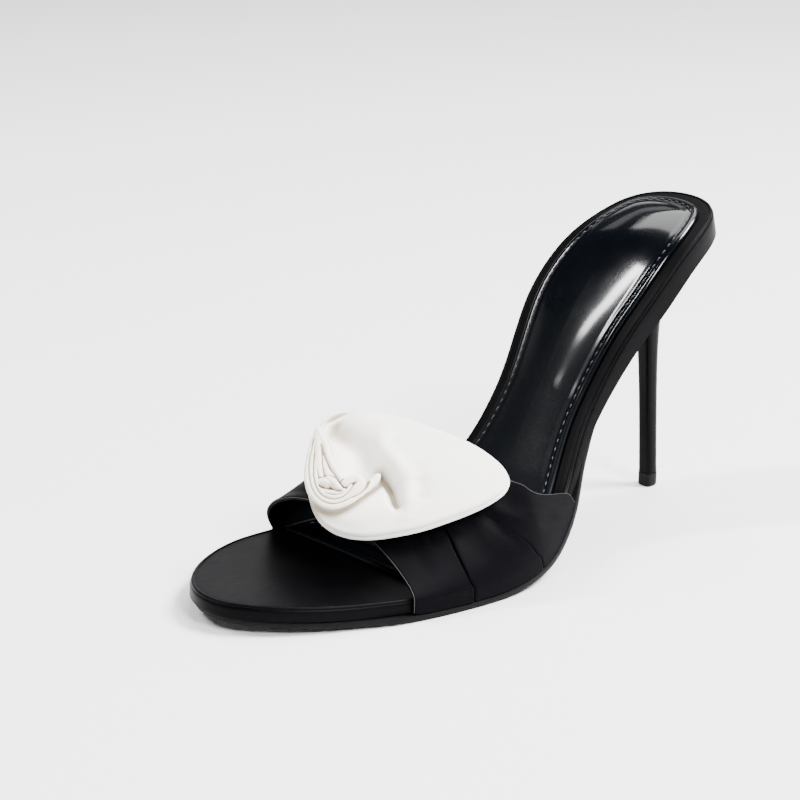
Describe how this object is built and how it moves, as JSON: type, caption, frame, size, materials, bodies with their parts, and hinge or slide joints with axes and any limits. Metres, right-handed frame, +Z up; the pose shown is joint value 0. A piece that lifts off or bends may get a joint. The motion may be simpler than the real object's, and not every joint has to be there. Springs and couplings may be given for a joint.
{
  "type": "stiletto mule",
  "caption": "Open-toe, open-heel stiletto mule for the left foot, with a pleated satin vamp and a satin rosette on its outer side.",
  "frame": {"origin": "middle of the shoe's bounding box in plan, on the floor", "axes": "+Z up, -Y towards the toe, +X towards the outer side of the left foot"},
  "size_m": [0.084, 0.2082, 0.104],
  "materials": {
    "sole_leather": "smooth, half matt",
    "black_satin": "satin weave",
    "sock_leather": "glossy, fine grain",
    "vamp_satin": "satin weave, pleated",
    "ivory_satin": "heavy satin, soft sheen",
    "bud_satin": "heavy satin, soft sheen",
    "heel_satin": "satin weave stretched over the heel",
    "lift_rubber": "smooth, half matt"
  },
  "bodies": {
    "root": {"outsole": "sole_leather", "footbed": "black_satin", "sock_lining": "sock_leather", "vamp": "vamp_satin", "rosette_petal": "ivory_satin", "rosette_bud": "bud_satin", "heel": "heel_satin", "top_piece": "lift_rubber"}
  },
  "joints": []
}
